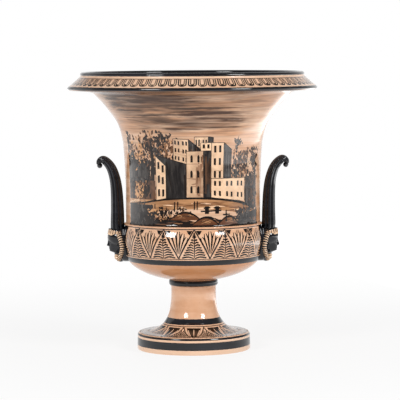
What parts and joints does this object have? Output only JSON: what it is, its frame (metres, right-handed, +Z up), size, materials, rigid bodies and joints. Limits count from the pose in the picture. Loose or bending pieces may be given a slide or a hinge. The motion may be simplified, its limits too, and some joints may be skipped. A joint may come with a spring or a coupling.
{
  "type": "campana krater vase",
  "caption": "Bell-shaped painted earthenware krater vase with flared rim, low bowl, stemmed drum foot and upright horn handles rising from masks.",
  "frame": {"origin": "centre of the foot ring, on the surface the vase stands on", "axes": "+Z up along the vase's axis, +X through one handle, -Y faces the viewer of the painted panel"},
  "size_m": [0.2986, 0.2986, 0.332],
  "materials": {
    "painted_glazed_earthenware": "clear glossy lead glaze over a warm buff clay, painted in black and dark brown"
  },
  "bodies": {
    "root": {"krater": "painted_glazed_earthenware"}
  },
  "joints": []
}
